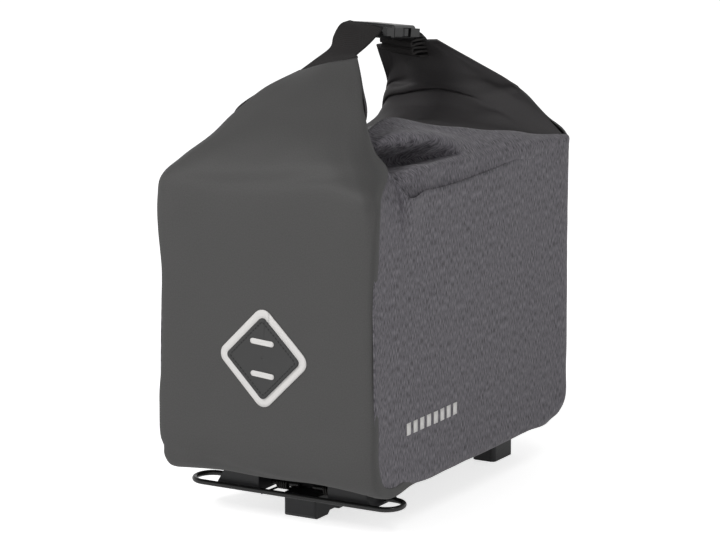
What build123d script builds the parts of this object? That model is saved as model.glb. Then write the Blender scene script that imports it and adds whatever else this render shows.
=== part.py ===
from build123d import *
import math
import os

os.makedirs("parts", exist_ok=True)

# Driving dimensions, in millimetres. +Y is the riding direction, +Z is up, z = 0 is the ground.
bag_length = 340.0           # along Y, over the tail-light patch
bag_width = 200.0            # along X
shoulder_height = 240.0      # upright part of the bag, above its base
ground_clearance = 42.0      # the rack adapter's feet hold the base this high
corner_radius = 38.0         # lower corners of the long sides
fabric = 1.2                 # laminated fabric
board = 3.0                  # stiffening boards
patch_base_thick = 0.5       # reflective diamond
patch_thick = 0.7            # fabric patch with the two light slots
print_thick = 0.3            # reflective print on the long sides

base_z = ground_clearance
shoulder_z = base_z + shoulder_height
half_width = bag_width / 2 - print_thick
front_y = bag_length / 2
rear_y = -bag_length / 2 + patch_base_thick + patch_thick

# Rolled closure: the rear and front wings lean inwards and end in the handle.
wing_top_half = 28.0
wing_knee_half = 67.0
wing_knee_share = 0.66       # how far up the wing its outline bends
rear_wing_top = (-70.0, base_z + 330.0)
front_wing_top = (68.0, base_z + 329.0)
roll_half = 26.0
roll_z = base_z + 258.0      # middle of the band where it lies flat
roll_thick = 10.0
ridge = (62.0, base_z + 271.0)   # x and z of the puffed fold beside the roll
seam_gap = 0.3
rear_wing_y = rear_y + 1.0    # the wings start just inside the end faces
front_wing_y = front_y - 1.0

# Handle: 30 mm webbing and a side-release buckle that leans forwards.
webbing_half = 15.0
webbing_thick = 1.8
buckle_at = (6.0, base_z + 347.0)
buckle_lean = -9.0
buckle_half = 21.0
bar_radius = 2.0
male_bar_y = -9.5
socket_bar_y = 40.0
socket_length = 35.0
prong_root_y = 0.2

# Rack adapter
adapter_half = 55.0
plate_thick = 8.0
housing_rear_y = -125.0
housing_front_y = -84.0
housing_drop = 22.0
adapter_front_y = 152.0
wire_radius = 2.25
pivot_y = -103.0
pivot_z = base_z - 18.0
bail_reach = 27.5
bail_droop = 2.0             # degrees that the closed bail hangs below level
bail_bend_x = 84.0
pocket_half = 33.0
screw_places = [(x, y) for x in (-38.0, 38.0) for y in (-60.0, 90.0)]


def save(shape, node):
    export_step(shape, "parts/" + node + ".step")


def group(shapes):
    return Compound(children=list(shapes))


def yz_prism(points, half, centre_x=0.0):
    """Outline of (y, z) points, made solid from centre_x - half to centre_x + half."""
    face = make_face(Polyline(*[(centre_x - half, y, z) for y, z in points], close=True))
    return extrude(face, amount=2 * half, dir=(1, 0, 0))


def side_outline(y0, y1, z0, z1, radius, x, thick):
    """Upright sheet of the long side, with round lower corners, from x to x + thick."""
    sheet = Plane.YZ * Pos((y0 + y1) / 2, (z0 + z1) / 2) * Rectangle(y1 - y0, z1 - z0)
    low = sheet.vertices().sort_by(Axis.Z)[:2]
    sheet = fillet(low, radius)
    return Pos(x, 0, 0) * extrude(sheet, amount=thick, dir=(1, 0, 0))


def ribbon(points, thick, half):
    """Strip along a (y, z) line, with mitred corners."""
    count = len(points)
    over, under = [], []
    for i in range(count):
        a = points[max(i - 1, 0)]
        b = points[i]
        c = points[min(i + 1, count - 1)]
        first = Vector(b[0] - a[0], b[1] - a[1]) if i else Vector(c[0] - b[0], c[1] - b[1])
        last = Vector(c[0] - b[0], c[1] - b[1]) if i < count - 1 else first
        first, last = first.normalized(), last.normalized()
        mid = (first + last).normalized()
        reach = thick / 2 / max(mid.dot(first), 0.5)
        over.append((b[0] - mid.Y * reach, b[1] + mid.X * reach))
        under.append((b[0] + mid.Y * reach, b[1] - mid.X * reach))
    return yz_prism(over + under[::-1], half)


def thin_triangle(p, q, r, thick, shrink=0.96):
    """Flat sheet on three corners, drawn in a little so that it clears its neighbours."""
    p, q, r = Vector(*p), Vector(*q), Vector(*r)
    centre = (p + q + r) / 3
    corners = [centre + (c - centre) * shrink for c in (p, q, r)]
    face = make_face(Polyline(*corners, close=True))
    normal = (q - p).cross(r - p).normalized()
    if normal.X * centre.X < 0:
        normal = -normal
    return extrude(face, amount=thick, dir=normal)


def screw_holes(radius, z0, z1):
    return [Pos(x, y, (z0 + z1) / 2) * Cylinder(radius, z1 - z0) for x, y in screw_places]


# ---------------------------------------------------------------- bag body
def end_strip():
    """Coated fabric in one run: rear face, base and front face."""
    half = half_width - fabric
    outer = side_outline(rear_y, front_y, base_z, shoulder_z, corner_radius, -half, 2 * half)
    inner = side_outline(rear_y + fabric, front_y - fabric, base_z + fabric, shoulder_z + 20,
                         corner_radius - fabric, -half - 1, 2 * half + 2)
    strip = outer - inner
    for hole in screw_holes(2.75, base_z - 1, base_z + fabric + 1):
        strip -= hole
    return strip


def side_panel(sign):
    x = half_width - fabric if sign > 0 else -half_width
    return side_outline(rear_y, front_y, base_z, shoulder_z, corner_radius, x, fabric)


def side_board(sign):
    inside = half_width - fabric - board
    x = inside if sign > 0 else -inside - board
    return side_outline(rear_y + 24, front_y - 8, base_z + 8, shoulder_z - 32, corner_radius - 8, x, board)


def base_board():
    y_half = bag_length / 2 - corner_radius - 2
    plate = Pos(0, 0, base_z + fabric + board / 2) * Box(2 * (half_width - fabric - board - 1), 2 * y_half, board)
    for hole in screw_holes(2.75, base_z, base_z + 10):
        plate -= hole
    return plate


# ---------------------------------------------------------------- rolled closure
def wing(top, face_y, sign):
    """End panel carried on above the shoulder: a leaning sheet that narrows in two steps to the roll."""
    rise = Vector(0, top[0] - face_y, top[1] - shoulder_z - seam_gap)
    length = rise.length
    sheet_plane = Plane(origin=(0, face_y, shoulder_z + seam_gap), x_dir=(1, 0, 0),
                        z_dir=Vector(1, 0, 0).cross(rise))
    base_half = half_width - fabric
    knee = wing_knee_share * length
    outline = [(-base_half, 0), (base_half, 0), (wing_knee_half, knee), (wing_top_half, length),
               (-wing_top_half, length), (-wing_knee_half, knee)]
    face = sheet_plane * make_face(Polyline(*outline, close=True))
    outward = Vector(0, -sign * abs(rise.Z), abs(rise.Y)).normalized()
    return extrude(face, amount=fabric, dir=outward)


def wing_point(top, face_y, share, half):
    return (half, face_y + (top[0] - face_y) * share,
            shoulder_z + seam_gap + (top[1] - shoulder_z - seam_gap) * share)


def top_panel(sign):
    """Heather fabric carried over the shoulder, up to a puffed ridge and down to the roll."""
    shoulder = (sign * (half_width - 1.0), shoulder_z + seam_gap)
    top = (sign * ridge[0], ridge[1])
    inner = (sign * (roll_half + 2), roll_z - 1)
    outer_sheet = sloped_sheet(shoulder, top, front_y - 3, 110.0)
    inner_sheet = sloped_sheet((top[0] - sign * 0.6, top[1]), inner, 110.0, 64.0)
    return group([outer_sheet, inner_sheet])


def sloped_sheet(low, high, low_reach, high_reach):
    """Flat sheet between two level edges, each given by its (x, z) and half its length along Y."""
    corners = [(low[0], -low_reach, low[1]), (low[0], low_reach, low[1]),
               (high[0], high_reach, high[1]), (high[0], -high_reach, high[1])]
    face = make_face(Polyline(*corners, close=True))
    run = Vector(high[0] - low[0], 0, high[1] - low[1]).normalized()
    outward = Vector(-run.Z, 0, run.X)
    if outward.Z < 0:
        outward = -outward
    return extrude(face, amount=fabric, dir=outward)


def gusset(top, face_y, sign):
    """Three folds of the collar between the shoulder corner, the wing's edge, the roll and the ridge."""
    end = math.copysign(1, face_y)
    corner = wing_point(top, face_y, 0.03, sign * (half_width - fabric - 3))
    knee = wing_point(top, face_y, wing_knee_share, sign * wing_knee_half)
    tip = wing_point(top, face_y, 0.97, sign * wing_top_half)
    roll = (sign * (roll_half + 2), end * 90.0, base_z + 284.0)
    fold = (sign * ridge[0], end * 112.0, ridge[1] + 3)
    return group([thin_triangle(knee, tip, roll, fabric), thin_triangle(knee, roll, fold, fabric),
                  thin_triangle(corner, knee, fold, fabric)])


roll_line = [(-62.5, base_z + 329), (-80, base_z + 286), (-58, roll_z), (56, roll_z),
             (79, base_z + 286), (60.5, base_z + 328)]
stiffener_size = (44.0, 96.0, 1.0)
stiffener_at = (0.0, -1.0, roll_z)


def mouth_stiffener():
    return Pos(*stiffener_at) * Box(*stiffener_size)


def rolled_mouth():
    """The mouth rolled down three turns into a flat band; both ends turn up into the handle."""
    return ribbon(roll_line, roll_thick, roll_half) - mouth_stiffener()


# ---------------------------------------------------------------- handle
def placed(shape):
    """From the buckle's own frame (x across, y forwards, z up) to its place in the handle."""
    return Location((0, buckle_at[0], buckle_at[1]), (buckle_lean, 0, 0)) * shape


def buckle_point(y, z):
    lean = math.radians(buckle_lean)
    return (buckle_at[0] + y * math.cos(lean) - z * math.sin(lean),
            buckle_at[1] + y * math.sin(lean) + z * math.cos(lean))


def webbing_eye(bar_y):
    """The webbing's loop around the buckle's bar."""
    outer = Cylinder(bar_radius + 0.1 + webbing_thick, 2 * webbing_half, rotation=(0, 90, 0))
    inner = Cylinder(bar_radius + 0.1, 2 * webbing_half + 2, rotation=(0, 90, 0))
    return placed(Pos(0, bar_y, 0) * (outer - inner))


def strap(top, face_y, sign, bar_y, crest):
    """Webbing sewn to the wing's outer face, over the roll's end and up to the buckle's bar."""
    rise = Vector(top[0] - face_y, top[1] - shoulder_z - seam_gap).normalized()
    out = Vector(-sign * abs(rise.Y), abs(rise.X))
    lift = out * (fabric + webbing_thick / 2 + 0.2)
    tip = Vector(*top)
    start = tip - rise * 28 + lift
    end = tip + rise * 2 + lift
    run = bar_radius + 0.1 + webbing_thick / 2
    last = buckle_point(bar_y, run)
    line = [(start.X, start.Y), (end.X, end.Y)] + crest + [last]
    if sign < 0:
        line = line[::-1]
    return ribbon(line, webbing_thick, webbing_half) + webbing_eye(bar_y)


def buckle_male():
    """Bar for the webbing, crosspiece and centre guide of the plug half."""
    cross = Pos(0, -2.75, 0) * Box(2 * buckle_half, 4.5, 9)
    arms = [Pos(s * (buckle_half - 2), -7.5, 0) * Box(4, 10, 7) for s in (-1, 1)]
    bar = Pos(0, male_bar_y, 0) * Cylinder(bar_radius, 2 * buckle_half - 4, rotation=(0, 90, 0))
    guide = Pos(0, 12, 0) * Box(5, 26, 5)
    shape = cross + arms + bar + guide
    return placed(shape)


def prong(sign):
    """Springy arm of the plug half; its head stands in the socket's side window."""
    outline = [(8, prong_root_y), (11.5, prong_root_y), (12.3, 13.5), (20.3, 14.5), (21.4, 17), (21.4, 22.5),
               (17, 28.5), (13, 30.5), (9.5, 29), (8.3, 18)]
    face = make_face(Polyline(*[(sign * x, y) for x, y in outline], close=True))
    arm = Pos(0, 0, -3.2) * extrude(face, amount=6.4, dir=(0, 0, 1))
    return placed(arm)


def buckle_socket():
    """Hollow half of the buckle, with side windows for the prongs and a bar for the webbing."""
    shell = Pos(0, socket_length / 2 + 0.2, 0) * Box(2 * buckle_half, socket_length - 0.4, 12)
    shell = fillet(shell.edges().filter_by(Axis.Y), 3.0)
    cavity = Pos(0, 15.5, 0) * Box(37, 33, 7.4)
    windows = Pos(0, 21, 0) * Box(60, 14, 7.4)
    arms = [Pos(s * (buckle_half - 2), 38.5, 0) * Box(4, 9, 7) for s in (-1, 1)]
    bar = Pos(0, socket_bar_y, 0) * Cylinder(bar_radius, 2 * buckle_half - 4, rotation=(0, 90, 0))
    return placed(shell - cavity - windows + arms + bar)


# ---------------------------------------------------------------- tail-light patch and print
def diamond(half_diagonal, radius, y, thick):
    """Square on its corner, standing against the rear face, from y to y - thick."""
    side = half_diagonal * math.sqrt(2)
    face = Plane.XZ * Rot(0, 0, 45) * RectangleRounded(side, side, radius)
    return Pos(0, y, base_z + 105) * extrude(face, amount=thick, dir=(0, -1, 0))


def light_slots(y, depth):
    slots = []
    for z in (-13.5, 13.5):
        face = Plane.XZ * SlotOverall(21, 4.2)
        slots.append(Pos(0, y + 1, base_z + 105 + z) * extrude(face, amount=depth + 2, dir=(0, -1, 0)))
    return slots


def light_patch():
    patch = diamond(37.0, 6.0, rear_y - patch_base_thick, patch_thick)
    for slot in light_slots(rear_y - patch_base_thick, patch_thick):
        patch -= slot
    return patch


def side_print(sign):
    """Row of plain reflective dashes."""
    x = half_width + print_thick / 2
    return group([Pos(sign * x, -73 + (i - 3.5) * 11, base_z + 46) * Box(print_thick, 6.5, 10) for i in range(8)])


# ---------------------------------------------------------------- rack adapter
def adapter_plate():
    length = adapter_front_y - housing_front_y
    middle = (adapter_front_y + housing_front_y) / 2
    plate = Pos(0, middle, base_z - plate_thick / 2) * Box(2 * adapter_half, length, plate_thick)
    plate = fillet(plate.edges().filter_by(Axis.Z), 8.0)
    pocket_y = [-20.0, 26.0, 128.0]
    for y in pocket_y:
        plate -= Pos(0, y, base_z - plate_thick) * Box(46, 34, 8)
    for s in (-1, 1):
        plate -= Pos(s * 38, 16, base_z - plate_thick) * Box(20, 104, 8)
    for hole in screw_holes(2.75, base_z - plate_thick - 1, base_z + 1):
        plate -= hole
    for x, y in screw_places:
        plate -= Pos(x, y, base_z - plate_thick) * extrude(RegularPolygon(4.65, 6), amount=6.2)
    return plate


def clamp_housing():
    """Block that carries the bail: wider at its foot, with a pocket for the springs."""
    low, high = base_z - housing_drop, base_z
    outline = [(-62, high), (62, high), (75, low), (-75, low)]
    face = make_face(Polyline(*[(x, housing_rear_y, z) for x, z in outline], close=True))
    block = extrude(face, amount=housing_front_y - housing_rear_y - 0.1, dir=(0, 1, 0))
    pocket = Pos(0, -109.5, base_z - 15) * Box(2 * pocket_half, 33, 20)
    rod_hole = Pos(0, pivot_y, pivot_z) * Cylinder(wire_radius + 0.08, 200, rotation=(0, 90, 0))
    return block - pocket - rod_hole


def release_bail():
    """One bent wire: the bar across the rear, a U-bend at each end and the two pivot rods."""
    droop = math.radians(bail_droop)
    bar_y = pivot_y - bail_reach * math.cos(droop)
    bar_z = pivot_z - bail_reach * math.sin(droop)
    middle = ((pivot_y + bar_y) / 2, (pivot_z + bar_z) / 2)
    bend = bail_bend_x + bail_reach / 2
    right = [Line((bail_bend_x, pivot_y, pivot_z), (7, pivot_y, pivot_z)),
             ThreePointArc((bail_bend_x, pivot_y, pivot_z), (bend, *middle), (bail_bend_x, bar_y, bar_z))]
    left = [Line((-7, pivot_y, pivot_z), (-bail_bend_x, pivot_y, pivot_z)),
            ThreePointArc((-bail_bend_x, pivot_y, pivot_z), (-bend, *middle), (-bail_bend_x, bar_y, bar_z))]
    bar = Line((bail_bend_x, bar_y, bar_z), (-bail_bend_x, bar_y, bar_z))
    path = Wire([right[0], right[1], bar, left[1], left[0]])
    ring = Plane(origin=(7, pivot_y, pivot_z), z_dir=(1, 0, 0)) * Circle(wire_radius)
    return sweep(ring, path=path)


def torsion_spring(sign):
    """Coil on the pivot rod; one leg reaches to the bail's bar and the other lies against the housing."""
    coil_radius, spring_radius, pitch, turns = 4.3, 0.9, 2.1, 5
    start = 17.0 if sign > 0 else -17.0 - pitch * turns
    helix = Helix(pitch, pitch * turns, coil_radius)
    reach = bail_reach - wire_radius - spring_radius - 0.8
    first, last = helix @ 0, helix @ 1
    path = Wire([Line(first - (helix % 0) * reach, first), helix, Line(last, last + (helix % 1) * 8)])
    section = Plane(origin=path @ 0, z_dir=path % 0) * Circle(spring_radius)
    coil = Rot(0, 90, 0) * sweep(section, path=path, is_frenet=True)
    return Pos(start, pivot_y, pivot_z) * coil


def hook_block():
    """Block that drops between the carrier's tubes; its underside is notched for a cross tube."""
    high = base_z - housing_drop
    outline = [(-115, 3), (-112, 0), (-94, 0), (-91, 3), (-78, 3), (-76, 0.6), (-70, 0.6), (-65, 6),
               (-65, high), (-115, high)]
    block = yz_prism(outline, 15.0)
    upright = block.edges().filter_by(Axis.Z)
    return fillet(upright, 2.5)


def front_foot(sign):
    """Foot under the front of the adapter, beside the carrier's front cross tube."""
    high = base_z - plate_thick
    block = Pos(sign * 46, 135, high / 2) * Box(22, 34, high)
    return fillet(block.edges().filter_by(Axis.Z), 4.0)


def clamp_strip(sign):
    """Aluminium strip inside the bag that spreads the screws' load."""
    strip = Pos(sign * 38, 15, base_z + fabric + board + 1) * Box(20, 180, 2)
    for hole in screw_holes(2.75, base_z, base_z + 12):
        strip -= hole
    return strip


def screws():
    under_head = base_z + fabric + board + 2 + 1
    head = Cylinder(4.6, 2.8)
    shapes = []
    for x, y in screw_places:
        shank = Pos(x, y, (under_head + base_z - 7) / 2) * Cylinder(2.5, under_head - base_z + 7)
        cap = Pos(x, y, under_head + 1.4) * head
        shapes.append(shank + cap - Pos(x, y, under_head + 2.4) * extrude(RegularPolygon(1.9, 6), amount=2))
    return group(shapes)


def washers():
    z = base_z + fabric + board + 2.5
    return group([Pos(x, y, z) * (Cylinder(5.5, 1) - Cylinder(2.7, 2)) for x, y in screw_places])


def nuts():
    shapes = []
    for x, y in screw_places:
        body = extrude(RegularPolygon(4.5, 6), amount=4) - Cylinder(2.55, 20)
        shapes.append(Pos(x, y, base_z - 6) * body)
    return group(shapes)


save(end_strip(), "end_strip")
save(base_board(), "base_board")
for side, sign in (("left", -1), ("right", 1)):
    save(side_panel(sign), side + "_side_panel")
    save(side_board(sign), side + "_side_board")
    save(top_panel(sign), side + "_top_panel")
    save(gusset(rear_wing_top, rear_wing_y, sign), "rear_" + side + "_gusset")
    save(gusset(front_wing_top, front_wing_y, sign), "front_" + side + "_gusset")
    save(prong(sign), "buckle_" + side + "_prong")
    save(side_print(sign), side + "_print")
    save(torsion_spring(sign), side + "_torsion_spring")
    save(front_foot(sign), side + "_front_foot")
    save(clamp_strip(sign), side + "_clamp_strip")
save(wing(rear_wing_top, rear_wing_y, 1), "rear_wing")
save(wing(front_wing_top, front_wing_y, -1), "front_wing")
save(rolled_mouth(), "rolled_mouth")
save(mouth_stiffener(), "mouth_stiffener")
rear_crest = [(-50, base_z + 341), (-32, base_z + 350), (-16, base_z + 353.5)]
save(strap(rear_wing_top, rear_wing_y, 1, male_bar_y, rear_crest), "rear_strap")
save(strap(front_wing_top, front_wing_y, -1, socket_bar_y, [(60, base_z + 338)]), "front_strap")
save(buckle_male(), "buckle_plug")
save(buckle_socket(), "buckle_socket")
save(diamond(44.0, 9.0, rear_y, patch_base_thick), "reflective_diamond")
save(light_patch(), "light_patch")
save(adapter_plate(), "adapter_plate")
save(clamp_housing(), "clamp_housing")
save(release_bail(), "release_bail")
save(hook_block(), "hook_block")
save(screws(), "adapter_screws")
save(washers(), "adapter_washers")
save(nuts(), "adapter_nuts")
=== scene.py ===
import math
import bpy
import numpy as np
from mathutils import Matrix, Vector, noise
from mathutils.bvhtree import BVHTree


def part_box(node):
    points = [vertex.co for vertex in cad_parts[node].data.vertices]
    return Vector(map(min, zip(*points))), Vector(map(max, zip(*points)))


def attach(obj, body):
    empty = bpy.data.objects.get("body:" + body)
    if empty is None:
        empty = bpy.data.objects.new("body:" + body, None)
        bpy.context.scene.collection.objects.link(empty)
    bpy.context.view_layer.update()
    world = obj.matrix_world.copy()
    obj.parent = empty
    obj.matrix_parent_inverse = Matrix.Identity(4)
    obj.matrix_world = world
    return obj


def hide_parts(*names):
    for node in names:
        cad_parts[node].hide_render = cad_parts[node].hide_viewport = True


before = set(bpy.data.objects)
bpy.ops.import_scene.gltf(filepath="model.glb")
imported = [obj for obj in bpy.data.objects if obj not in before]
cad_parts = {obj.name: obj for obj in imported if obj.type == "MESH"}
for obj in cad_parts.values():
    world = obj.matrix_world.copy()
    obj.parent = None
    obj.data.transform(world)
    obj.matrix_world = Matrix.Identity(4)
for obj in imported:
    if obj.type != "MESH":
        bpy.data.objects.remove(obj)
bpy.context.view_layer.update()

# ================================================================ end strip
# One long strip of coated fabric: rear wing, rear face, base, front face and front wing.
# At the rear it wraps a few millimetres round onto the long sides. From there to the front its
# edges lie under the heather instead.

base_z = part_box("end_strip")[0].z      # underside of the bag, in metres
half_width = 102.0                     # from here on, sizes are in millimetres above the base
rear_y = -171.5
front_y = 171.5
fabric_thick = 1.2
corner_in = 6.0                        # round of the upright corners
rear_wrap = 11.0                       # how far the strip reaches onto the long sides at the rear
front_wrap = 5.0
low_corner = 25.0                      # round between the end faces and the base
droop = 6.0                            # the base's long edges hang this much lower
covered_half = 99.8                    # half width where the heather lies over the strip


def spline(points, knots, places):
    """Smooth curve through points[i] at knots[i], read at the places."""
    points = np.asarray(points, float)
    shape = (-1,) + (1,) * (points.ndim - 1)
    gap = np.diff(knots)
    rise = np.diff(points, axis=0) / gap.reshape(shape)
    before, after = gap[:-1].reshape(shape), gap[1:].reshape(shape)
    middle = (rise[:-1] * after + rise[1:] * before) / (before + after)
    slope = np.concatenate([rise[:1], middle, rise[-1:]])
    span = np.clip(np.searchsorted(knots, places, side="right") - 1, 0, len(gap) - 1)
    size = gap[span].reshape(shape)
    t = ((places - knots[span]) / gap[span]).reshape(shape)
    low = points[span] * (1 + 2 * t) * (1 - t) ** 2 + slope[span] * size * t * (1 - t) ** 2
    high = points[span + 1] * t * t * (3 - 2 * t) + slope[span + 1] * size * t * t * (t - 1)
    return low + high


def even_places(points, step, least=3):
    """Knots along the mean line of the points, and places every step between them."""
    lengths = np.linalg.norm(np.diff(points, axis=0), axis=-1)
    lengths = lengths.reshape(len(lengths), -1).mean(1).clip(0.5)
    knots = np.concatenate([[0.0], np.cumsum(lengths)])
    places = [0.0]
    for start, length in zip(knots, lengths):
        count = max(least, math.ceil(length / step))
        places += list(start + length * np.arange(1, count + 1) / count)
    return knots, np.array(places)


def net(rows, step=3.0):
    """Smooth grid of points through rows of control points."""
    rows = np.asarray(rows, float)
    across = even_places(rows.swapaxes(0, 1), step)
    along = even_places(rows, step)
    grid = spline(rows.swapaxes(0, 1), *across).swapaxes(0, 1)
    return spline(grid, *along)


def outward(grid):
    """Unit normals of a grid whose rows and columns turn right-handed to its outside."""
    normal = np.cross(np.gradient(grid, axis=0), np.gradient(grid, axis=1))
    return normal / np.linalg.norm(normal, axis=-1, keepdims=True).clip(1e-9)


def fold(grid, line, depths, width, steep=2, way=None):
    """Presses a crease into the grid along a line, inwards or another way; a negative depth raises it.

    The width is one number, or one for each point of the line; a larger steep gives a sharper mouth.
    """
    line = np.asarray(line, float)
    widths = np.broadcast_to(width, len(line))
    best = np.full(grid.shape[:2], 1e9)
    depth, wide = np.zeros(grid.shape[:2]), np.ones(grid.shape[:2])
    for i in range(len(line) - 1):
        run = line[i + 1] - line[i]
        share = (((grid - line[i]) @ run) / (run @ run)).clip(0, 1)
        far = np.linalg.norm(grid - line[i] - share[..., None] * run, axis=-1)
        here = depths[i] + (depths[i + 1] - depths[i]) * share
        nearer = far < best
        best = np.where(nearer, far, best)
        depth = np.where(nearer, here, depth)
        wide = np.where(nearer, widths[i] + (widths[i + 1] - widths[i]) * share, wide)
    inwards = -outward(grid) if way is None else np.array(way)
    return grid + inwards * (depth * np.exp(-(best / wide) ** steep))[..., None]


def ripple(grid, scale, height, seed):
    """Faint unevenness of slack fabric."""
    offset = Vector((seed * 7.3, seed * 3.1, seed * 5.7))
    flat = grid.reshape(-1, 3)
    bump = np.array([noise.noise(Vector(p) / scale + offset) for p in flat])
    return grid + outward(grid) * (height * bump.reshape(grid.shape[:2]))[..., None]


def metres(points):
    """Millimetres above the base to metres above the ground."""
    return np.asarray(points, float) * 0.001 + np.array([0.0, 0.0, base_z])


def place(obj, node_names):
    """Joins a finished piece to the bag's body, in place of these CAD nodes."""
    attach(obj, "bag")
    if node_names:
        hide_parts(*node_names)
    return obj


def grid_piece(name, grids, material, thick=fabric_thick, offset=-1.0, unfolded=None):
    """Mesh of one or more grids with a fabric's thickness, and its own UV in metres.

    The UV's width is measured on the unfolded cloth, where that is given.
    """
    points, faces, uvs = [], [], []
    for grid, cloth in zip(grids, unfolded or grids):
        rows, columns = grid.shape[:2]
        first = sum(len(p) for p in points)
        points.append(metres(grid).reshape(-1, 3))
        right = np.linalg.norm(np.diff(cloth, axis=1), axis=-1).cumsum(1) * 0.001
        right = np.pad(right, ((0, 0), (1, 0)))
        right -= right[:, columns // 2:columns // 2 + 1]
        down = np.linalg.norm(np.diff(grid, axis=0), axis=-1).cumsum(0) * 0.001
        down = np.pad(down, ((1, 0), (0, 0)))
        uvs.append(np.stack([right, down], -1).reshape(-1, 2))
        start = np.arange(rows - 1)[:, None] * columns + np.arange(columns - 1)[None, :] + first
        faces.append(np.stack([start, start + columns, start + columns + 1, start + 1], -1).reshape(-1, 4))
    points, faces, uvs = (np.concatenate(part) for part in (points, faces, uvs))
    mesh = bpy.data.meshes.new(name)
    mesh.from_pydata(points.tolist(), [], faces.tolist())
    layer = mesh.uv_layers.new(name="cloth")
    corner = np.empty(len(mesh.loops), dtype=np.int32)
    mesh.loops.foreach_get("vertex_index", corner)
    layer.data.foreach_set("uv", uvs[corner].astype(np.float32).ravel())
    mesh.polygons.foreach_set("use_smooth", [True] * len(mesh.polygons))
    mesh.materials.append(material)
    obj = bpy.data.objects.new(name, mesh)
    bpy.context.collection.objects.link(obj)
    if thick:
        body = obj.modifiers.new("thickness", "SOLIDIFY")
        body.thickness = thick * 0.001
        body.offset = offset
    return obj


def colour(code):
    """sRGB hex to the linear colour that Blender's sockets take."""
    parts = [int(code[i:i + 2], 16) / 255 for i in (1, 3, 5)]
    linear = [c / 12.92 if c <= 0.04045 else ((c + 0.055) / 1.055) ** 2.4 for c in parts]
    return (*linear, 1.0)


def add(tree, kind, links=(), **settings):
    """Adds a node; settings name its properties or sockets, links are (socket, from socket)."""
    node = tree.nodes.new(kind)
    for name, value in settings.items():
        if hasattr(node, name):
            setattr(node, name, value)
        else:
            node.inputs[name.replace("_", " ")].default_value = value
    for socket, source in links:
        tree.links.new(source, node.inputs[socket])
    return node


def material(name, base, roughness, **sockets):
    """Principled material with the constants set on the shader; returns it, its tree and shader."""
    made = bpy.data.materials.new(name)
    made.use_nodes = True
    shader = made.node_tree.nodes["Principled BSDF"]
    shader.inputs["Base Color"].default_value = colour(base)
    shader.inputs["Roughness"].default_value = roughness
    for key, value in sockets.items():
        shader.inputs[key.replace("_", " ")].default_value = value
    return made, made.node_tree, shader


def mottle(tree, shader, vector, scale, dark, light, low=0.35, high=0.65, detail=4.0):
    """Base colour that wanders between two shades."""
    cloud = add(tree, "ShaderNodeTexNoise", [("Vector", vector)], Scale=scale, Detail=detail)
    ramp = add(tree, "ShaderNodeValToRGB", [("Fac", cloud.outputs["Fac"])])
    ramp.color_ramp.elements[0].position = low
    ramp.color_ramp.elements[1].position = high
    ramp.color_ramp.elements[0].color = colour(dark)
    ramp.color_ramp.elements[1].color = colour(light)
    tree.links.new(ramp.outputs["Color"], shader.inputs["Base Color"])
    return cloud


def relief(tree, shader, height, strength, distance):
    """Bump from a height output."""
    bump = add(tree, "ShaderNodeBump", [("Height", height)], Strength=strength, Distance=distance)
    tree.links.new(bump.outputs["Normal"], shader.inputs["Normal"])
    return bump


def cloth_uv(tree):
    """The UV that grid_piece makes."""
    return add(tree, "ShaderNodeUVMap", uv_map="cloth").outputs["UV"]


def coated_fabric(name, dark, light):
    """Laminated polyester: almost smooth, with a very fine weave under a matt coating."""
    made, tree, shader = material(name, light, 0.62, Specular_IOR_Level=0.35)
    uv = cloth_uv(tree)
    mottle(tree, shader, uv, 900.0, dark, light, 0.3, 0.7)
    weave = add(tree, "ShaderNodeTexNoise", [("Vector", uv)], Scale=1600.0, Detail=2.0)
    relief(tree, shader, weave.outputs["Fac"], 0.25, 0.0003)
    return made


coated = coated_fabric("coated_polyester", "#434342", "#4c4b4b")
# Darker copy of the same coated fabric for the collar: its darker tone is painted shade.
coated_painted_shade = coated_fabric("collar_polyester_painted_shade", "#363435", "#3d3b3c")


def mirrored(half, lean=0.0):
    """Whole row from its right half, centre first. The left half leans down by this share of x."""
    left = [(-x, y, z - lean * x) for x, y, z in half[:0:-1]]
    return left + list(half)


def strip_row(y, z, normal, half=half_width, crown=0.0, hang=0.0, wrap=rear_wrap):
    """Row across the strip at (y, z) on the bag's side outline, whose outside faces normal (y, z)."""
    section = [(0, crown), (50, crown * 0.8), (half - 13, crown * 0.25), (half - 5.5, -0.5),
               (half - 1.6, -2.2), (half, -min(corner_in, wrap - 1)), (half, -wrap)]
    row = []
    for x, out in section:
        down = hang * max(0.0, (x - 58) / 42) ** 1.5
        row.append((x, y + normal[0] * out, z + normal[1] * out - down))
    return mirrored(row)


# Control rows of the rear wing, right half: centre, two on the face, three round the fold, the fold's end.
rear_wing_rows = [
    [(0, -71.5, 330), (12, -70.5, 333), (21, -69.5, 335), (23, -69, 335.6), (25, -68.4, 336.2),
     (26.4, -67.6, 336.6), (27, -66.5, 337)],
    [(0, -99, 317), (22, -98.5, 318.5), (37, -96.5, 319.5), (40, -95.6, 319.7), (43, -94.6, 320),
     (45, -93.4, 320.2), (46, -91.5, 320.3)],
    [(0, -128, 298), (30, -127, 299), (50, -122.5, 299.6), (54.5, -121, 299.8), (58.5, -119, 300),
     (61, -117, 300), (62, -113.5, 300)],
    [(0, -155, 275), (38, -154, 275), (61, -149, 274.5), (68, -146, 274.2), (73, -140.5, 274),
     (76, -134, 273.8), (76, -123.5, 273.6)],
    [(0, -167, 259), (45, -166, 259), (76, -161.5, 258.5), (83, -158, 258.3), (88, -151.5, 258),
     (90.5, -142, 258), (87.2, -122.5, 259.5)],
    [(0, -172.5, 243), (50, -172.4, 243), (88, -172, 242.4), (95.5, -170.6, 242), (99.6, -166, 242),
     (101, -162, 241), (100.4, -155.5, 241)],
    [(0, -173.5, 228), (50, -173.4, 228), (90, -172.8, 228), (97, -171.2, 228), (100.8, -168, 228),
     (102, -165.5, 228), (102, -160.5, 228)],
]
rear_leans = [0.55, 0.24, 0.14, 0.03, 0, 0, 0]

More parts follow.
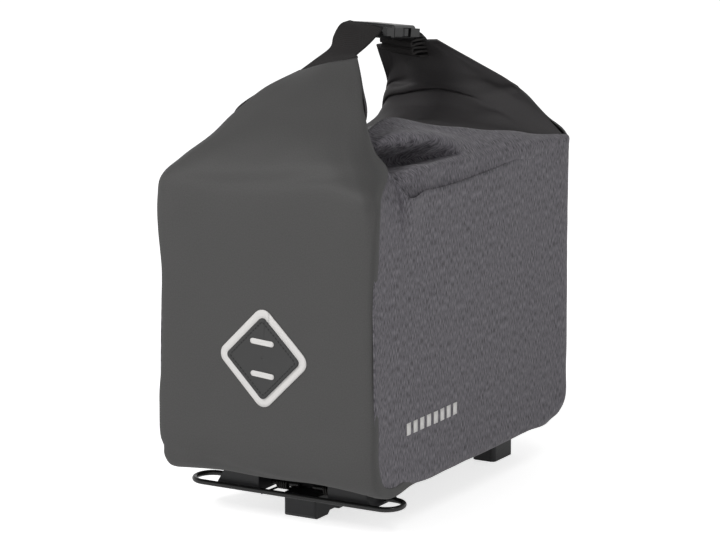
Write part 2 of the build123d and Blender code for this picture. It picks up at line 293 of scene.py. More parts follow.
# Side outline from the rear shoulder down and round: (y, z, half width, crown).
rear_face_stations = [(-172, 200, 101.6, 1.0), (-170.4, 165, 99.4, 0.4), (-170.0, 130, 99.2, 0.0),
                      (-170.6, 90, 100.4, -0.2), (-171.4, 55, 101.8, 0.0)]
front_face_stations = [(front_y, z, covered_half + 0.1, crown)
                       for z, crown in ((40, 1.0), (90, 1.5), (150, 1.5), (205, 0.5))]


def round_corner(y, sign, angles, half, wrap):
    """Rows round the corner between an end face and the base."""
    rows = []
    for angle in angles:
        c, s = math.cos(math.radians(angle)), math.sin(math.radians(angle))
        rows.append(strip_row(sign * (abs(y) - low_corner + low_corner * c), low_corner - low_corner * s,
                              (sign * c, -s), half, 0.4, droop * s * s, wrap))
    return rows


front_wing_half = [
    [(0, 171, 240), (50, 171, 240), (88, 170.7, 240.5), (94.4, 170.2, 240.8), (98, 169, 241),
     (99.7, 167.4, 241), (99.9, 165, 241)],
    [(0, 160, 261), (45, 159, 261), (78, 153, 260.5), (84, 151, 260.4), (87.5, 149.4, 260.3),
     (89.4, 148, 260.2), (90, 146.5, 260)],
    [(0, 138, 289), (36, 136, 289), (64, 128, 288.8), (69.5, 125.6, 288.6), (73, 123.6, 288.5),
     (75.3, 121.8, 288.4), (76, 120, 288.3)],
    [(0, 108, 312), (25, 105.5, 312.4), (41, 99, 312.9), (44.6, 97, 313), (47.4, 95, 313.2),
     (49.3, 93.4, 313.3), (50, 91.7, 313.4)],
    [(0, 69, 330), (12, 69, 331), (20, 68.8, 332), (22.5, 68.7, 332.3), (24.8, 68.5, 332.6),
     (26.3, 68.3, 332.8), (27, 68, 333)],
]
front_left_wing = [   # the left half of that wing is slack, and its edge falls away to a slumped corner
    [(0, 171, 238), (-50, 171, 236), (-87, 170.5, 229), (-93.5, 169.8, 227), (-97, 168.6, 225.6),
     (-98.6, 167, 225), (-98.8, 164.6, 225)],
    [(0, 161, 259), (-36, 162, 252), (-64, 161, 243), (-70, 160.4, 241), (-75, 159.4, 239),
     (-78.4, 157.8, 237.4), (-80, 155.6, 236.4)],
    [(0, 140, 284), (-20, 140, 277), (-37, 135, 267), (-41, 132, 264.4), (-44.4, 128.4, 262),
     (-47, 124, 260), (-48, 119.6, 259)],
    [(0, 109, 308), (-11, 108, 304), (-22, 102, 298), (-25, 98.6, 296), (-28, 94, 294),
     (-30.4, 89, 292.4), (-31.4, 85, 292)],
    [(0, 69, 330), (-12, 67, 328), (-20, 64, 326.4), (-22.5, 63, 326), (-24.8, 62, 325.6),
     (-26.3, 61, 325.3), (-27, 60, 325)],
]

strip_rows = [mirrored(row, lean) for row, lean in zip(rear_wing_rows, rear_leans)]
strip_rows += [strip_row(y, z, (-1, 0), half, crown) for y, z, half, crown in rear_face_stations]
strip_rows += round_corner(rear_y + 0.5, -1, (0, 30, 60, 90), half_width - 0.4, rear_wrap)
strip_rows += [strip_row(y, 0, (0, -1), covered_half, 0.5, droop, rear_wrap) for y in (-100, 0, 90)]
strip_rows += round_corner(front_y, 1, (90, 60, 30, 0), covered_half - 0.1, rear_wrap - 3)
strip_rows += [strip_row(y, z, (1, 0), half, crown, 0, front_wrap)
               for y, z, half, crown in front_face_stations]
strip_rows += [left[:0:-1] + right for left, right in zip(front_left_wing, front_wing_half)]

strip = net(strip_rows, 3.2)
strip = ripple(strip, 70.0, 1.6, 1)
strip = ripple(strip, 24.0, 0.5, 2)
strip = fold(strip, [(-98, -168, 248), (-40, -172, 246), (10, -172, 252), (60, -169, 262), (84, -154, 262)],
             [0.5, 2.0, 2.4, 1.6, 0.2], 7.0)
strip = fold(strip, [(-99, -167, 18), (-40, -165, 12), (10, -160, 4), (60, -154, 0)],
             [1.8, 1.8, 1.2, 0.3], 5.0)
strip = fold(strip, [(99, -168, 236), (98, -155, 246), (92, -138, 254)], [1.6, 1.4, 0.0], 5.0)
end_strip = grid_piece("end_strip_fabric", [strip], coated)
place(end_strip, ["end_strip", "rear_wing", "front_wing"])

# ================================================================ heather sides
# Each long side is a heather panel over a board; above the board it folds in over the shoulder
# and ends in a seam with the collar. The surplus by the wings lies in soft folds.

side_out = 101.0
side_low = 5.0                         # lower edge at the rear, where the strip covers it
side_rear = -167.0
side_end = 169.4
side_round = 21.0                      # the panel's lower rear corner
front_round = 27.0                     # and its lower front corner
over_from, over_length = -150.0, 60.0  # where the heather comes out from under the strip
over_drop = 9.0                        # and how much lower its edge runs from there
edge_tuck = 1.4                        # the front and lower edges turn in by this


def side_bottom(y):
    """Lower edge of the heather: tucked under the strip at the rear, over it from there to the front."""
    over = max(0.0, min(1.0, (y - over_from) / over_length))
    low = side_low - over_drop * over * over * (3 - 2 * over)
    radius, end = (side_round, -side_rear) if y < 0 else (front_round, side_end)
    past = max(0.0, abs(y) - (end - radius))
    return low + radius - math.sqrt(max(radius ** 2 - past ** 2, 0.0))


def waist(y, z):
    """The rear end of the bag is a little narrower at half height."""
    near = max(0.0, min(1.0, (-y - 40) / 120)) ** 2
    return 1.6 * near * math.exp(-((z - 148) / 48) ** 2)


side_top = [(100.9, -165, 222), (99.4, -157, 238), (87.6, -122.8, 259.5), (100.2, -121.2, 243.5),
            (101, -80, 237.5), (101, -40, 235), (101, 0, 235), (101, 53, 236), (101, 100, 238),
            (101, 138, 239.4), (101, 165, 238.6), (101, 169.2, 237)]
side_foot = [side_rear, -150, -129, -119, -80, -40, 0, 53, 100, 138, 165.6, side_end]
top_lean = 14                          # the panel stands upright and leans to side_top only at its top
shares = [0.0, 0.015, 0.08, 0.25, 0.45, 0.65, 0.8, 0.9, 0.96, 1.0]


def side_rows():
    """Control rows of a long side, from its lower edge up to side_top."""
    rows = []
    for share in shares:
        row = []
        for (x, y, z), foot in zip(side_top, side_foot):
            low = side_bottom(foot)
            height = low + (z - low) * share
            lean = share ** top_lean
            at_edge = foot == side_end or (share == 0.0 and foot > over_from + over_length / 2)
            tuck = edge_tuck if at_edge else 0.0
            out = side_out - waist(foot, height) - tuck
            row.append((out + (x - side_out) * lean, foot + (y - foot) * share, height))
        rows.append(row)
    return rows


shoulder_columns = [
    [(90, -128, 231), (86, -128.5, 237), (79, -129, 242), (71, -129, 249), (61, -128, 261), (55, -120, 276)],
    [(98, -111, 230), (99, -111, 239), (94, -112, 245), (83, -113, 253), (68.5, -113, 264.5),
     (55, -105, 280)],
    [(99.6, -88, 229), (100.8, -86, 237.8), (98, -88, 246), (87, -92, 258), (70, -95, 273), (51, -88, 284)],
    [(99.6, -44, 227), (100.8, -44, 235.2), (98.8, -45, 245), (87, -47, 261), (69, -48, 277),
     (50, -49, 286.6)],
    [(99.6, -5, 227), (100.8, -5, 235), (99, -6, 245), (90, -7, 257), (78.5, -8, 266), (64, -9, 276)],
    [(99.6, 53, 228), (100.8, 53, 236), (99.6, 53, 245), (95, 53, 252.5), (88, 53, 258.5), (80, 53, 263.6)],
    [(99.6, 100, 230), (100.8, 100, 238), (100, 100, 244.5), (96.8, 99, 249), (92, 98, 252.6),
     (86, 96, 255.4)],
    [(99.6, 138, 231), (100.8, 138, 239), (100.6, 138, 242), (98.4, 137, 244.4), (94.8, 136.5, 246),
     (90, 136, 246.8)],
    [(99.2, 168, 231), (99.8, 168, 236.6), (99.9, 168, 238.6), (99.6, 167.6, 240.2), (98.8, 167, 241.1),
     (98, 166, 241.3)],
]


def slump(grid):
    """The front left shoulder has sunk: it lies lower than the right one."""
    x, y, z = grid[..., 0], grid[..., 1], grid[..., 2]
    forward = ((y - 50) / 110).clip(0, 1)
    high = ((z - 175) / 60).clip(0, 1)
    down = 15 * forward ** 2 * (3 - 2 * forward) * high ** 2 * (3 - 2 * high)
    return np.stack([x, y, z - down], -1)


def heather_fabric():
    """Two-tone yarn: short upright flecks, lighter and darker, on a soft woven face."""
    made, tree, shader = material("heather_polyester", "#555256", 0.9, Specular_IOR_Level=0.2)
    shader.inputs["Sheen Weight"].default_value = 0.15
    uv = cloth_uv(tree)
    thread = add(tree, "ShaderNodeMapping", [("Vector", uv)], Scale=(1050.0, 190.0, 1.0))
    fleck = mottle(tree, shader, thread.outputs["Vector"], 1.0, "#434145", "#79767c", 0.36, 0.66, 3.0)
    relief(tree, shader, fleck.outputs["Fac"], 0.06, 0.0001)
    return made


heather = heather_fabric()
side = net(side_rows(), 3.6)[:, ::-1]
side = ripple(side, 80.0, 1.0, 3)
side = ripple(side, 22.0, 0.35, 4)
shoulder = net(np.asarray(shoulder_columns).swapaxes(0, 1), 2.6)[:, ::-1]
unfolded = [side, shoulder]
shoulder = ripple(shoulder, 40.0, 1.6, 5)
shoulder = fold(shoulder, [(64, -114, 277), (72, -70, 273), (80, -25, 267), (86, 20, 259)],
                [-5, -7, -5, 0], 8.0)
shoulder = fold(shoulder, [(92, -112, 251), (94, -60, 251), (96, -16, 250), (98, 30, 247)],
                [-2, -4, -3, 0], 5.0)
shoulder = fold(shoulder, [(101, -110, 240), (101, -60, 239), (101, 0, 238), (101, 60, 239)],
                [2.8, 3.2, 1.8, 0], 8.0)

# Only the right shoulder is pressed in to a deep pocket beside the rear wing.
pocket_line = [(60, -130, 263), (72, -112, 263), (82, -88, 263), (86, -45, 261), (90, -8, 254)]
right_shoulder = fold(shoulder, pocket_line, [36, 44, 50, 40, 6], [10, 10, 9, 6.5, 2.5], 10,
                      (-0.95, 0, -0.31))


def other_side(grid):
    """The same grid on the left, its columns turned so that its outside stays outside."""
    return (grid * np.array([-1.0, 1.0, 1.0]))[:, ::-1]


right_heather = grid_piece("right_heather_panel", [side, right_shoulder], heather, unfolded=unfolded)
place(right_heather, ["right_side_panel", "right_top_panel"])
left_heather = grid_piece("left_heather_panel", [slump(other_side(grid)) for grid in (side, shoulder)],
                          heather, unfolded=[other_side(grid) for grid in unfolded])
place(left_heather, ["left_side_panel", "left_top_panel"])

# ================================================================ rolled closure
# The mouth is rolled down into a band, and the collar beside it folds in from the seams.
# The band's two ends stand up as horns between the wings and carry the handle.

closure_half = [   # centre, the band's edge, collar, collar, seam or fold, under the seam
    [(0, -67.5, 330.5), (9, -67.2, 332), (18, -66.9, 334.4), (22, -66.6, 335.6), (25, -66.4, 336.4),
     (27, -66.2, 337)],
    [(0, -80, 312), (12, -80.5, 313), (26, -82, 315), (35, -85, 317.5), (41, -88, 319), (45.6, -91, 320)],
    [(0, -85, 292), (14, -86, 293), (30, -89, 294), (45, -97, 297), (54, -105, 299), (61.6, -112.5, 300)],
    [(0, -79, 273), (15, -80, 274), (29, -84, 276), (42, -94, 280), (50, -104, 282), (58, -114, 282)],
    [(0, -60, 261), (15, -60, 263), (28, -62, 266), (40, -72, 273), (47, -83, 278), (53, -90, 277)],
    [(0, -30, 259), (15, -30, 262), (28, -30, 267), (41, -40, 278), (48, -49, 284), (55, -51, 280)],
    [(0, 5, 260), (15, 4, 264), (28, 2, 268), (46, -3, 276), (63, -9, 273), (70, -9, 268)],
    [(0, 40, 264), (15, 40, 266), (28, 39, 269), (52, 35, 269), (75, 30, 264), (82, 30, 259)],
    [(0, 64, 270), (15, 64, 271), (28, 64, 273), (58, 68, 264.5), (83, 74, 256.6), (88, 75, 252)],
    [(0, 77, 276), (15, 77, 277), (29, 79, 278), (64, 98, 265), (89.6, 135, 244.5), (93, 137, 241)],
    [(0, 88, 285), (15, 89, 287), (30, 90.5, 286.6), (66, 112, 268), (91, 146, 249), (98.4, 163, 239.6)],
    [(0, 84.5, 285.6), (15, 85.5, 287.8), (30, 87.6, 287.2), (65, 112.6, 273), (89.5, 145, 252),
     (97, 160, 243.5)],
    [(0, 84, 287), (15, 85, 289.2), (30, 87.2, 288.6), (64.6, 112.6, 274.4), (89, 144.6, 253.2),
     (96.3, 158.8, 245)],
    [(0, 82.6, 292), (15, 83.4, 293), (31, 86.6, 294), (61, 111.5, 285), (80, 132, 270), (89.8, 146.2, 260)],
    [(0, 79, 303), (15, 79.6, 304), (30, 83, 305), (52, 99, 299), (67, 111, 293), (76.4, 119.4, 288.6)],
    [(0, 75, 317), (13, 75.5, 317.6), (25, 77, 318), (37, 82, 317), (44, 87, 315), (49.8, 91.2, 313.4)],
    [(0, 66, 330), (9, 66.2, 331), (16, 66.6, 331.8), (20, 67, 332.3), (24, 67.3, 332.7), (27, 67.6, 333)],
]
closure_leans = [0.55, 0.24, 0.14, 0.1, 0.25, 0.4, 0.5]
closure_left = [   # the left half from row 8 on: it lies lower, with a free edge on the horn
    [(-15, 40, 259), (-28, 40, 251), (-52, 44, 244), (-76, 44, 240), (-84, 44, 236)],
    [(-15, 62, 266), (-28, 64, 260), (-54, 74, 246), (-82, 84, 238), (-88, 86, 233)],
    [(-15, 75, 274), (-28, 76, 269), (-52, 98, 243), (-86, 134, 232), (-92, 139, 228)],
    [(-15, 85.5, 281), (-28.5, 84, 277), (-49, 108, 248), (-82, 152, 231), (-97.6, 164, 224.5)],
    [(-15, 82.5, 281.8), (-28.8, 81.5, 277.8), (-48, 107, 250.5), (-78, 149, 234), (-95, 162, 227.5)],
    [(-15, 82, 283.2), (-28.8, 81.2, 279.2), (-47.4, 106.8, 252), (-77, 148.4, 235), (-93.8, 161.4, 228.8)],
    [(-15, 85, 289), (-29, 86, 286), (-42, 105, 265), (-60, 134, 246), (-79.6, 155.4, 236)],
    [(-12, 82, 298), (-24, 83, 293), (-33, 89, 283), (-41, 104, 269), (-47.8, 119.2, 258.8)],
    [(-9, 75.5, 314), (-18, 77, 309), (-24, 79, 303), (-28, 81.6, 297), (-31.2, 84.6, 291.8)],
    [(-9, 65, 328.6), (-16, 64, 327), (-20, 62.6, 326), (-24, 61, 325.4), (-27, 59.6, 325)],
]
closure_rows = [mirrored(row, lean) for row, lean in zip(closure_half, closure_leans)]
closure_rows += [left[::-1] + right for left, right in zip(closure_left, closure_half[7:])]

closure = net(closure_rows, 3.0)
closure = ripple(closure, 40.0, 1.0, 6)
closure = fold(closure, [(48, 99, 281), (60, 106, 284), (74, 117.5, 287)], [-1, -3.5, -3.5], 4.0)
closure = fold(closure, [(80, 128, 270), (70, 107, 268), (60, 84, 266)], [1, 4.0, 2], 7.0)
# The closure takes the darker copy of the coated fabric, whose darker tone is painted shade.
rolled_closure = grid_piece("rolled_closure_fabric", [closure], coated_painted_shade)
place(rolled_closure, ["rolled_mouth", "rear_left_gusset", "rear_right_gusset", "front_left_gusset",
                       "front_right_gusset"])

# ================================================================ handle
# Two lengths of ribbed webbing, sewn to the wings and joined over the roll by a side-release buckle.
# The spare end of the front one is folded up under it.

webbing, tree, shader = material("ribbed_webbing", "#2a2828", 0.85, Specular_IOR_Level=0.25)
uv = cloth_uv(tree)
ribs = add(tree, "ShaderNodeTexWave", [("Vector", uv)], Scale=130.0, bands_direction="Y", Distortion=0.6)
picks = add(tree, "ShaderNodeTexNoise", [("Vector", uv)], Scale=2200.0, Detail=1.0)
both = add(tree, "ShaderNodeMath", [(0, ribs.outputs["Fac"]), (1, picks.outputs["Fac"])], operation="ADD")
relief(tree, shader, both.outputs["Value"], 0.6, 0.0006)
webbing_thick = 1.8


def webbing_grid(left, right, step=1.6):
    """Strip of webbing between its two edges."""
    left, right = np.asarray(left, float), np.asarray(right, float)
    lanes = [left, left * 0.75 + right * 0.25, (left + right) / 2, left * 0.25 + right * 0.75, right]
    return net(np.stack(lanes, 1), step)


rear_left_edge = [(-27, -70, 320), (-21, -52, 328.5), (-15.5, -36, 337), (-15, -32, 346), (-15, -21, 354),
                  (-15, -6, 355)]
rear_right_edge = [(27.6, -66, 337.6), (20, -56, 336.5), (15, -45, 336), (15, -27, 341), (15, -12, 346.5),
                   (15, -2, 350)]
strap_rows = webbing_grid(rear_left_edge, rear_right_edge)
rear_strap = grid_piece("rear_strap_webbing", [strap_rows], webbing, webbing_thick, 0.0)
place(rear_strap, ["rear_strap"])

front_left_edge = [(-15, 43, 339), (-15, 50, 341), (-15, 58, 340), (-15, 66, 333), (-15, 76, 323),
                   (-15, 95, 312)]
front_right_edge = [(15, 43, 337), (15, 50, 339), (15, 59, 338), (15, 68, 333), (15, 79, 324), (15, 97, 313)]
front_strap = grid_piece("front_strap_webbing", [webbing_grid(front_left_edge, front_right_edge)], webbing,
                         webbing_thick, 0.0)
place(front_strap, ["front_strap"])

tail_run = [(43, 337.4), (55, 337), (64, 335.2), (66, 333.4), (60, 333.6), (50, 334), (44, 333.4),
            (43.6, 330.4), (50, 330.6), (62, 330), (69, 329), (71, 326.6), (66, 326.2), (54, 327.4),
            (46, 327), (45.6, 324), (54, 323.8), (66, 322.8), (73, 321.6), (74, 319), (68, 318.4),
            (58, 319.6)]
webbing_tail = grid_piece("folded_webbing_tail", [webbing_grid([(-14, y, z + 1) for y, z in tail_run],
                                                              [(16, y, z - 1) for y, z in tail_run])],
                          webbing, webbing_thick, 0.0)
place(webbing_tail, [])

# ================================================================ tail-light patch and print
# A diamond of reflective film is pressed on the rear face. A smaller fabric patch is sewn over it,
# with two slots for a tail light's clip. Each long side has a row of printed dashes.


def surface_of(grid):
    """Search tree of a grid, in metres."""
    rows, columns = grid.shape[:2]
    start = (np.arange(rows - 1)[:, None] * columns + np.arange(columns - 1)[None, :]).ravel()
    faces = np.stack([start, start + columns, start + columns + 1, start + 1], -1)
    return BVHTree.FromPolygons(metres(grid).reshape(-1, 3).tolist(), faces.tolist())


def lay_on(surface, points, direction, lift):
    """Moves points along a direction onto the surface, then stands them off it by the lift."""
    way = Vector(direction)
    laid = []
    for point in metres(points).reshape(-1, 3):
        hit = surface.ray_cast(Vector(point) - way * 0.3, way)[0]
        laid.append(np.array(hit) - np.array(way) * lift * 0.001)
    laid = np.array(laid).reshape(np.shape(points))
    return (laid - np.array([0.0, 0.0, base_z])) * 1000


def rounded(width, height, radius, steps=6):
    """Closed outline of a rounded rectangle, anticlockwise."""
    outline = []
    for turn, (sx, sy) in enumerate([(1, 1), (-1, 1), (-1, -1), (1, -1)]):
        for step in range(steps + 1):
            angle = math.radians(90 * (turn + step / steps))
            outline.append((sx * (width / 2 - radius) + radius * math.cos(angle),
                            sy * (height / 2 - radius) + radius * math.sin(angle)))
    return outline + outline[:1]


def refine(outline, step):
    """The same outline with points every step along its straight runs."""
    dense = [outline[0]]
    for a, b in zip(outline, outline[1:]):
        count = max(1, math.ceil(math.dist(a, b) / step))
        for i in range(1, count + 1):
            dense.append((a[0] + (b[0] - a[0]) * i / count, a[1] + (b[1] - a[1]) * i / count))
    return dense


def turned(outline, degrees):
    """The same outline turned about its middle."""
    c, s = math.cos(math.radians(degrees)), math.sin(math.radians(degrees))
    return [(x * c - y * s, x * s + y * c) for x, y in outline]


def laid_patch(outline, centre, lift, rings=14):
    """Flat shape on the rear face as rings around its centre, outermost last."""
    shape = np.array([(centre[0] + x, 0.0, centre[1] + z) for x, z in outline])
    middle = np.array([centre[0], 0.0, centre[1]])
    rows = [middle + (shape - middle) * share for share in np.linspace(0.002, 1, rings)]
    return lay_on(rear_surface, np.array(rows), (0, 1, 0), lift)


rear_surface = surface_of(strip)
patch_centre = (0.0, 105.0)
film_reach = 44.0                      # from the diamond's middle to its corner
patch_reach = 35.0
stitch_inset = 4.2
slot_rise = 13.5                       # of each light slot from the middle
film_side = film_reach * math.sqrt(2)
patch_side = patch_reach * math.sqrt(2)
film_outline = turned(refine(rounded(film_side, film_side, 9), 3), 45)
patch_outline = turned(refine(rounded(patch_side, patch_side, 4), 3), 45)
slot_outline = turned(refine(rounded(22, 4.6, 2.2), 2), -4)

film, tree, shader = material("reflective_film", "#d9d7d5", 0.45)
where = add(tree, "ShaderNodeTexCoord").outputs["Object"]
beads = add(tree, "ShaderNodeTexNoise", [("Vector", where)], Scale=2400.0, Detail=1.0)
relief(tree, shader, beads.outputs["Fac"], 0.1, 0.0001)
patch_cloth, tree, shader = material("patch_polyester", "#3b3b3b", 0.75)
where = add(tree, "ShaderNodeTexCoord").outputs["Object"]
twill = add(tree, "ShaderNodeTexNoise", [("Vector", where)], Scale=1500.0, Detail=2.0)
relief(tree, shader, twill.outputs["Fac"], 0.3, 0.0003)

diamond = grid_piece("reflective_diamond_film", [laid_patch(film_outline, patch_centre, 0.6)], film, 0.5)
place(diamond, ["reflective_diamond"])
patch = grid_piece("light_patch_fabric", [laid_patch(patch_outline, patch_centre, 1.9)], patch_cloth, 1.6)
place(patch, ["light_patch"])
for side_name, height in (("upper", slot_rise), ("lower", -slot_rise)):
    at = (0.0, patch_centre[1] + height)
    slot_film = grid_piece(side_name + "_light_slot", [laid_patch(slot_outline, at, 2.4, 5)], film, 0.4)
    place(slot_film, [])

thread = material("bonded_thread", "#232323", 0.6)[0]


def stitch_nodes():
    """Geometry Nodes: short round-ended stitches at an even pitch along the edges of a mesh."""
    tree = bpy.data.node_groups.new("stitch_run", "GeometryNodeTree")
    tree.interface.new_socket("Geometry", in_out="INPUT", socket_type="NodeSocketGeometry")
    for name, value in (("Pitch", 0.003), ("Stitch length", 0.0022), ("Thread radius", 0.0004)):
        tree.interface.new_socket(name, in_out="INPUT", socket_type="NodeSocketFloat").default_value = value
    tree.interface.new_socket("Thread", in_out="INPUT", socket_type="NodeSocketMaterial")
    tree.interface.new_socket("Geometry", in_out="OUTPUT", socket_type="NodeSocketGeometry")
    given = add(tree, "NodeGroupInput")
    curve = add(tree, "GeometryNodeMeshToCurve", [("Mesh", given.outputs["Geometry"])])
    dots = add(tree, "GeometryNodeCurveToPoints",
               [("Curve", curve.outputs["Curve"]), ("Length", given.outputs["Pitch"])], mode="LENGTH")
    ball = add(tree, "GeometryNodeMeshUVSphere", Segments=8, Rings=6, Radius=1.0)
    half = add(tree, "ShaderNodeMath", [(0, given.outputs["Stitch length"])], operation="MULTIPLY")
    half.inputs[1].default_value = 0.5
    radius = given.outputs["Thread radius"]
    size = add(tree, "ShaderNodeCombineXYZ", [("X", radius), ("Y", radius), ("Z", half.outputs["Value"])])
    stitch = add(tree, "GeometryNodeInstanceOnPoints",
                 [("Points", dots.outputs["Points"]), ("Instance", ball.outputs["Mesh"]),
                  ("Rotation", dots.outputs["Rotation"]), ("Scale", size.outputs["Vector"])])
    real = add(tree, "GeometryNodeRealizeInstances", [("Geometry", stitch.outputs["Instances"])])
    painted = add(tree, "GeometryNodeSetMaterial", [("Geometry", real.outputs["Geometry"]),
                                                    ("Material", given.outputs["Thread"])])
    add(tree, "NodeGroupOutput", [("Geometry", painted.outputs["Geometry"])])
    return tree


stitches = stitch_nodes()


def stitch_line(name, lines, nodes, pitch=3.0, length=2.1, radius=0.4):
    """Rows of stitches along lines of points, as one plain mesh."""
    points, edges = [], []
    for line in lines:
        edges += [(len(points) + i, len(points) + i + 1) for i in range(len(line) - 1)]
        points += metres(line).tolist()
    mesh = bpy.data.meshes.new(name)
    mesh.from_pydata(points, edges, [])
    obj = bpy.data.objects.new(name, mesh)
    bpy.context.collection.objects.link(obj)
    run = obj.modifiers.new("stitches", "NODES")
    run.node_group = stitches
    given = {"Pitch": pitch * 0.001, "Stitch length": length * 0.001, "Thread radius": radius * 0.001,
             "Thread": thread}
    for item in stitches.interface.items_tree:
        if item.in_out == "INPUT" and item.name in given:
            run[item.identifier] = given[item.name]
    made = bpy.data.meshes.new_from_object(obj.evaluated_get(bpy.context.evaluated_depsgraph_get()))
    obj.modifiers.clear()
    obj.data = made
    made.name = name
    made.polygons.foreach_set("use_smooth", [True] * len(made.polygons))
    return place(obj, nodes)


sewn_side = (patch_reach - stitch_inset) * math.sqrt(2)
sewn_outline = turned(refine(rounded(sewn_side, sewn_side, 2), 3), 45)
sewn = np.array([(x, 0.0, patch_centre[1] + z) for x, z in sewn_outline])
stitch_line("light_patch_stitches", [lay_on(rear_surface, sewn, (0, 1, 0), 2.0)], [],
            3.2, 2.3, 0.45)


def across_webbing(grid, share, inset=0.08):
    """Line of points just above a webbing grid, from edge to edge at a share of its length."""
    index = int(share * (len(grid) - 1))
    row = grid[index] + outward(grid)[index]
    cut = max(1, int(inset * len(row)))
    return row[cut:-cut]


stitch_line("rear_strap_stitches", [across_webbing(strap_rows, share) for share in (0.12, 0.3, 0.66, 0.7)], [],
            2.4, 1.8, 0.35)

dash_count, dash_pitch = 8, 11.0
dash_width, dash_height = 6.5, 10.0
print_y, print_z = -73.0, 46.0         # the row's middle
for side_name, panel, sign in (("right", side, 1), ("left", other_side(side), -1)):
    surface = surface_of(panel)
    dashes = []
    for i in range(dash_count):
        y = print_y + (i - (dash_count - 1) / 2) * dash_pitch
        dash = np.array([[(0.0, y + u, print_z + v) for u in (-dash_width / 2, 0, dash_width / 2)]
                         for v in (dash_height / 2, 0, -dash_height / 2)])
        dash = lay_on(surface, dash, (-sign, 0, 0), 0.3)
        dashes.append(dash if sign > 0 else dash[:, ::-1])
    printed = grid_piece(side_name + "_reflective_dashes", dashes, film, 0.25)
    place(printed, [side_name + "_print"])

# ================================================================ plain materials for the CAD parts
# The buckle, the adapter with its bail and springs, the boards and the fasteners are shown as they
# come from the frame. They only get their real finish, and the moulded ones a small edge radius.


def plastic(name, base, roughness, grain):
    """Plastic, or a plastic coating, with a fine grain."""
    made, tree, shader = material(name, base, roughness)
    where = add(tree, "ShaderNodeTexCoord").outputs["Object"]
    speck = add(tree, "ShaderNodeTexNoise", [("Vector", where)], Scale=1800.0, Detail=2.0)
    relief(tree, shader, speck.outputs["Fac"], grain, 0.0002)
    return made


def metal(name, base, roughness):
    """Drawn or rolled metal with faint streaks."""
    made, tree, shader = material(name, base, roughness, Metallic=1.0)
    where = add(tree, "ShaderNodeTexCoord").outputs["Object"]
    streak = add(tree, "ShaderNodeTexNoise", [("Vector", where)], Scale=400.0, Detail=3.0)
    relief(tree, shader, streak.outputs["Fac"], 0.1, 0.0002)
    return made


finishes = {
    "buckle_plastic": plastic("black_acetal", "#131314", 0.32, 0.15),
    "adapter_plastic": plastic("glass_filled_nylon", "#1d1d1f", 0.42, 0.5),
    "bail_wire": plastic("coated_wire", "#1c1c1c", 0.25, 0.05),
    "spring_wire": metal("blackened_spring_steel", "#3a3938", 0.35),
    "clamp_aluminium": metal("rolled_aluminium", "#b4b5b6", 0.4),
    "fastener_steel": metal("zinc_plated_steel", "#a3a4a4", 0.35),
    "stiffener_board": plastic("grey_polypropylene_board", "#6b6b6b", 0.7, 0.3),
    "reflective_film": film,
    "patch_fabric": patch_cloth,
    "coated_fabric": coated,
    "heather_fabric": heather,
    "webbing": webbing,
}
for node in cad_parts.values():
    slot_name = node.data.materials[0].name.split(".")[0]
    if slot_name in finishes:
        node.data.materials.clear()
        node.data.materials.append(finishes[slot_name])
    if slot_name in ("buckle_plastic", "adapter_plastic"):
        bevel = node.modifiers.new("mould_radius", "BEVEL")
        bevel.width = 0.0005
        bevel.segments = 2
        bevel.limit_method = "ANGLE"
        bevel.angle_limit = math.radians(35)

# ================================================================ stage
# A pale floor, a pale room that is dimmer overhead, and two soft lamps: one at the rear left, and a
# weaker one above the right side.
# The floor's glow is weaker as a lamp than as seen, so that the underside stays dark.

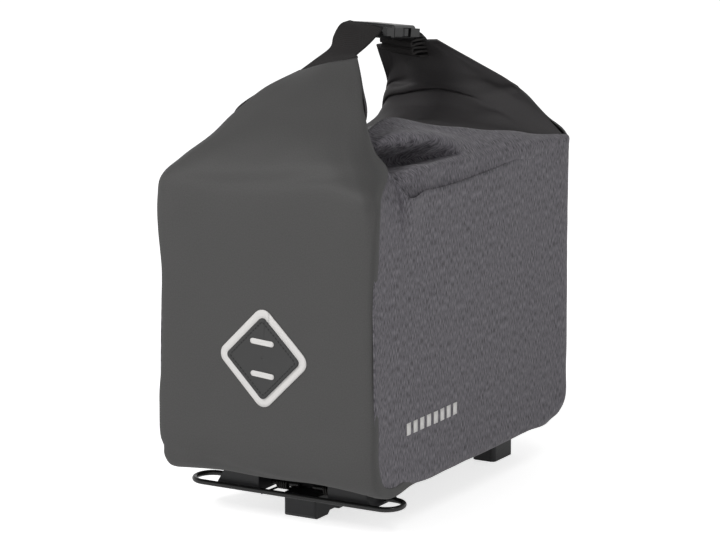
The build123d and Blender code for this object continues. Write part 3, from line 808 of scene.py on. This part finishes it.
floor_mesh = bpy.data.meshes.new("floor")
floor_half = 6.0
floor_mesh.from_pydata([(-floor_half, -floor_half, 0), (floor_half, -floor_half, 0),
                        (floor_half, floor_half, 0), (-floor_half, floor_half, 0)], [], [(0, 1, 2, 3)])
floor = bpy.data.objects.new("floor", floor_mesh)
bpy.context.collection.objects.link(floor)
pale, tree, shader = material("pale_floor", "#f6f6f6", 0.9)
shader.inputs["Emission Color"].default_value = colour("#ffffff")
glow = add(tree, "ShaderNodeMapRange", [("Value", add(tree, "ShaderNodeLightPath").outputs["Is Camera Ray"])],
           To_Min=0.18, To_Max=0.7)
tree.links.new(glow.outputs["Result"], shader.inputs["Emission Strength"])
floor_mesh.materials.append(pale)

world = bpy.data.worlds.new("studio")
bpy.context.scene.world = world
world.use_nodes = True
sky = world.node_tree
direction = add(sky, "ShaderNodeTexCoord").outputs["Generated"]
height = add(sky, "ShaderNodeSeparateXYZ", [("Vector", direction)])
fade = add(sky, "ShaderNodeValToRGB", [("Fac", height.outputs["Z"])])
fade.color_ramp.elements[0].position = 0.15
fade.color_ramp.elements[0].color = colour("#ffffff")
fade.color_ramp.elements[1].position = 0.75
fade.color_ramp.elements[1].color = colour("#6f6f6f")
sky.links.new(fade.outputs["Color"], sky.nodes["Background"].inputs["Color"])
sky.nodes["Background"].inputs["Strength"].default_value = 0.93
bpy.context.scene.view_settings.view_transform = "Standard"


def soft_light(name, where, size, watts):
    """Area light that looks at the middle of the bag."""
    lamp = bpy.data.lights.new(name, "AREA")
    lamp.size = size
    lamp.energy = watts
    obj = bpy.data.objects.new(name, lamp)
    obj.location = where
    obj.rotation_euler = (Vector((0, 0, 0.2)) - Vector(where)).to_track_quat("-Z", "Y").to_euler()
    bpy.context.collection.objects.link(obj)


soft_light("key_light", (-0.9, -2.2, 2.3), 1.1, 44)
soft_light("side_light", (1.6, -0.6, 2.6), 1.0, 12)

camera_data = bpy.data.cameras.new("camera")
camera_data.sensor_width = 36.0
camera_data.lens = 210.0
camera_data.shift_x = -0.012361
camera_data.shift_y = 0.040833
camera = bpy.data.objects.new("camera", camera_data)
azimuth, elevation, distance = math.radians(29.85), math.radians(12.98), 3.519
level = math.cos(elevation)
back = Vector((math.sin(azimuth) * level, -math.cos(azimuth) * level, math.sin(elevation)))
camera.location = Vector((0, 0, base_z + 0.12)) + back * distance
camera.rotation_euler = (-back).to_track_quat("-Z", "Y").to_euler()
bpy.context.collection.objects.link(camera)
bpy.context.scene.camera = camera
